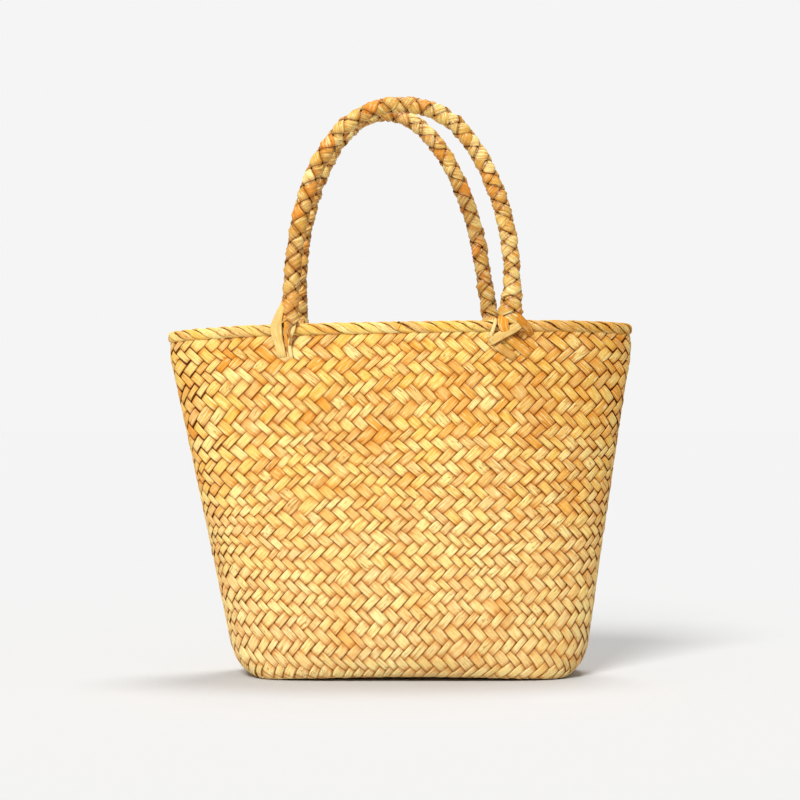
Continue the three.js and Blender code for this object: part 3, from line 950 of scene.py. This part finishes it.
# The colour of the shade painted on the bag's upper right.
OLIVE = "B9822F"
STREAK = "D88A24"
LIGHT_FIBRE = "FFF4B4"
DARK_FIBRE = "B46408"
SPLIT = "9A4A04"
STAIN = "F0930E"
PATCH = "CFA058"
# How much half the bag's length grows with its height.
END_FLARE = 0.157
# Dark and glow colour the shade painted along a strand's lower edge and where it dives; one number sets how
# dark that painted shade gets in the dives, and another how olive the bag's upper right is painted as shade.
STRAWS = {
    "woven_straw": {"stops": GOLD},
    "rim_straw": {"stops": GOLD, "dark": "3E1000", "glow": "BE6204", "crease": 0.6, "right_shade": 0.75},
    "plaited_straw": {
        "stops": OLIVE_GOLD, "dark": "2C0C00", "glow": "A85A08", "crease": 1.3, "stain": 0.35, "gloss": 0.35,
        "fibres": 1.5, "dive_shade": 0.95,
    },
    "tie_straw": {"stops": TIE_TONES, "crease": 0.4, "stain": 0.2, "right_shade": 0.0, "fibres": 0.5},
    "core_straw": {"stops": CORE_SHADE_TONES, "stain": 0.0},
}


def tone_layer(m, right_shade):
    m.tint(PALE_STRAND, m.step(m.strand_tone, 0.5, 1.0), 0.4)
    m.tint(PALE_FOOT, m.step(m.upward, 0.2, 0.0), 0.5)
    # Painted shade: the bag's upper right turned olive, as its side away from the light.
    m.tint(OLIVE, m.right_shade_mask, right_shade)


def fibre_layer(m, fibres):
    """Light and dark fibres, and on some strands a split line."""
    m.tint(STREAK, m.step(m.fibre, 0.5, 0.68), 0.6 * fibres)
    m.tint(LIGHT_FIBRE, m.step(m.fibre, 0.48, 0.34), 0.7)
    m.tint(DARK_FIBRE, m.step(m.fine, 0.54, 0.66), 0.5 * fibres)
    split = m.math("SUBTRACT", m.noise(m.stretched(0.035, 1.3), 1.5, 1.0, 0.5), 0.5)
    split = m.step(m.math("ABSOLUTE", split), 0.022, 0.006)
    m.tint(SPLIT, m.times(split, m.step(m.strand_tone, 0.45, 0.6)), 0.7)


def stain_layer(m, stain, fibres):
    m.tint(STAIN, m.step(m.noise(m.place, 30.0, 3.0, 0.6), 0.55, 0.72), stain)
    m.tint(PATCH, m.step(m.noise(m.place, 12.0, 2.0, 0.5), 0.5, 0.7), 0.25 * fibres)


def end_share(m):
    """0 on the bag's broad sides, and 1 where the wall bends round its ends."""
    half_length = m.math("MULTIPLY_ADD", m.upward, END_FLARE, FOOT_LENGTH / 2 * MM)
    return m.step(m.math("DIVIDE", m.math("ABSOLUTE", m.to_right), half_length), 0.78, 0.97)


def crevice_shade_layer(m, dark, glow, dive_shade):
    """Painted shade, darker towards a strand's lower edge and where it dives: reach is 1 there, 0 in a
    float's middle.
    """
    reach = m.math("ABSOLUTE", m.math("SUBTRACT", m.math("ABSOLUTE", m.phase), 1.0))
    reach = m.math("SUBTRACT", 1.0, reach)
    uneven = m.math("MULTIPLY_ADD", m.fibre, 0.8, m.math("SUBTRACT", reach, 0.4))
    # Painted shade: warm orange-brown towards a float's ends, where it tucks under its neighbour.
    m.tint(glow, m.step(uneven, 0.4, 1.0), 0.6)
    # Painted shade: warm orange-brown along a strand's lower edge, stronger in places.
    strength = m.step(m.noise(m.stretched(0.09, 0.0), 1.0, 2.0, 0.5), 0.3, 0.62)
    strength = m.math("MULTIPLY_ADD", strength, 0.75, 0.2)
    m.tint(glow, m.times(m.step(m.across, 0.62, 1.0), strength), 0.75)
    # Painted shade lines: dark along a strand's lower edge, fainter along its upper one.
    upper = m.times(m.step(m.across, -0.9, -1.0), 0.3)
    side = m.times(m.math("MAXIMUM", m.step(m.across, 0.88, 1.0), upper), strength)
    # Painted shade where a strand dives, deeper where the wall bends round the bag's ends.
    ends = end_share(m)
    dip = m.step(m.math("MULTIPLY_ADD", ends, 0.08, reach), 0.9, 1.02)
    dip = m.times(dip, m.math("MULTIPLY_ADD", ends, 0.5, dive_shade))
    deep = m.math("MAXIMUM", side, dip)
    # Painted shade, darker still on the bag's upper right.
    m.tint(dark, m.math("MULTIPLY_ADD", m.times(deep, m.right_shade_mask), 0.7, deep))


def finish_surface(m, gloss, crease):
    m.link(m.colour, m.surface.inputs["Base Color"])
    m.link(m.math("MULTIPLY_ADD", m.fibre, 0.3, 0.4), m.surface.inputs["Roughness"])
    m.set(m.surface, Specular_IOR_Level=0.08, Coat_Weight=gloss, Coat_Roughness=0.28)
    bump = m.node("ShaderNodeBump")
    m.set(bump, Strength=0.7, Distance=0.0004)
    wrinkle = m.times(m.noise(m.stretched(0.7, 1.0), 1.0, 2.0, 0.5), crease)
    m.link(m.math("ADD", m.math("MULTIPLY_ADD", m.fine, 0.5, m.fibre), wrinkle), bump.inputs["Height"])
    m.link(bump.outputs[0], m.surface.inputs["Normal"])


def straw_material(
    name, stops, stain=0.4, dark="521A00", glow="C86A00", gloss=0.0, crease=0.2, right_shade=0.42, fibres=1.0,
    dive_shade=0.5,
):
    m = Straw(name, stops)
    tone_layer(m, right_shade)
    fibre_layer(m, fibres)
    stain_layer(m, stain, fibres)
    crevice_shade_layer(m, dark, glow, dive_shade)
    finish_surface(m, gloss, crease)
    return m.material


def dress(piece, material, slot, *nodes):
    """Gives a piece its material and lets it stand for these nodes of the frame; the slot is not used."""
    piece.data.materials.append(material)
    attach(piece, "root")
    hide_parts(*nodes)


def make_bag():
    straws = {name: straw_material(name, **facts) for name, facts in STRAWS.items()}
    halves = {"a": np.arange(COLUMNS // 2), "b": np.arange(COLUMNS // 2, COLUMNS)}
    woven = straws["woven_straw"]
    for rising, family in enumerate(("falling", "rising")):
        for part, numbers in halves.items():
            dress(wall_strands(f"wall_{family}_{part}", rising, numbers), woven, "woven_straw", "basket_body")
        dress(mat_strands(f"base_{family}", rising), woven, "woven_straw", "basket_body")
    dress(rim_strands("rim_wraps"), straws["rim_straw"], "rim_straw", "rim_braid")
    dress(rim_core("rim_core"), straws["core_straw"], "rim_straw", "rim_braid")
    for name, facts in HANDLES.items():
        dress(plait(name + "_plait", facts), straws["plaited_straw"], "plaited_straw", name)
    for name, facts in TIES.items():
        dress(tie(name + "_straws", **facts), straws["tie_straw"], "tie_straw", name)


# Stage: a floor, a backdrop that only the camera sees, two broad soft lights and an even glow. Radii are in
# metres, and a light's columns are its name, where it shines from and its strength.
FLOOR_RADIUS = 12.0
FLOOR_TONE = 0.605
DOME_RADIUS = 11.5
BACKDROP_GLOW = 0.913
LIGHTS = (
    ("key", (-0.36, -1.0, 0.95), 2.75),
    ("top", (0.1, 0.25, 1.0), 1.6),
)
LIGHT_SPREAD_DEGREES = 20
EVEN_LIGHT = 0.42
CAMERA_PLACE = (-7.0, -1500.0, 182.0)
CAMERA_LENS = 101.25
CAMERA_SENSOR = 36.0
CAMERA_REACH = 100.0


def plain_material(name, tone, glow=0.0):
    m = Shader(name)
    m.set(m.surface, Base_Color=(tone, tone, tone, 1), Roughness=0.9, Specular_IOR_Level=0.0)
    if glow:
        m.set(m.surface, Emission_Color=(glow, glow, glow, 1), Emission_Strength=1.0)
    return m.material


def make_stage():
    bpy.ops.mesh.primitive_circle_add(vertices=128, radius=FLOOR_RADIUS, fill_type="NGON", location=(0, 0, 0))
    floor = bpy.context.object
    floor.name = "floor"
    floor.data.materials.append(plain_material("floor_white", FLOOR_TONE))
    bpy.ops.mesh.primitive_uv_sphere_add(segments=64, ring_count=32, radius=DOME_RADIUS, location=(0, 0, 0))
    dome = bpy.context.object
    dome.name = "backdrop"
    dome.data.materials.append(plain_material("backdrop_white", 0.0, BACKDROP_GLOW))
    dome.visible_diffuse = dome.visible_glossy = dome.visible_shadow = False
    dome.visible_transmission = dome.visible_volume_scatter = False


def make_light():
    world = bpy.data.worlds.new("studio")
    world.use_nodes = True
    background = world.node_tree.nodes["Background"]
    background.inputs["Color"].default_value = (1.0, 1.0, 1.0, 1)
    background.inputs["Strength"].default_value = EVEN_LIGHT
    bpy.context.scene.world = world
    for name, direction, strength in LIGHTS:
        light = bpy.data.lights.new(name, "SUN")
        light.energy, light.angle = strength, np.radians(LIGHT_SPREAD_DEGREES)
        lamp = bpy.data.objects.new(name, light)
        lamp.rotation_euler = Vector(direction).to_track_quat("Z", "Y").to_euler()
        bpy.context.scene.collection.objects.link(lamp)


def make_camera():
    camera = bpy.data.objects.new("camera", bpy.data.cameras.new("camera"))
    camera.data.lens, camera.data.sensor_width = CAMERA_LENS, CAMERA_SENSOR
    camera.data.clip_end = CAMERA_REACH
    camera.location = [value * MM for value in CAMERA_PLACE]
    camera.rotation_euler = (np.pi / 2, 0, 0)
    bpy.context.scene.collection.objects.link(camera)
    bpy.context.scene.camera = camera


make_bag()
make_stage()
make_light()
make_camera()
bpy.context.scene.view_settings.view_transform = "Standard"
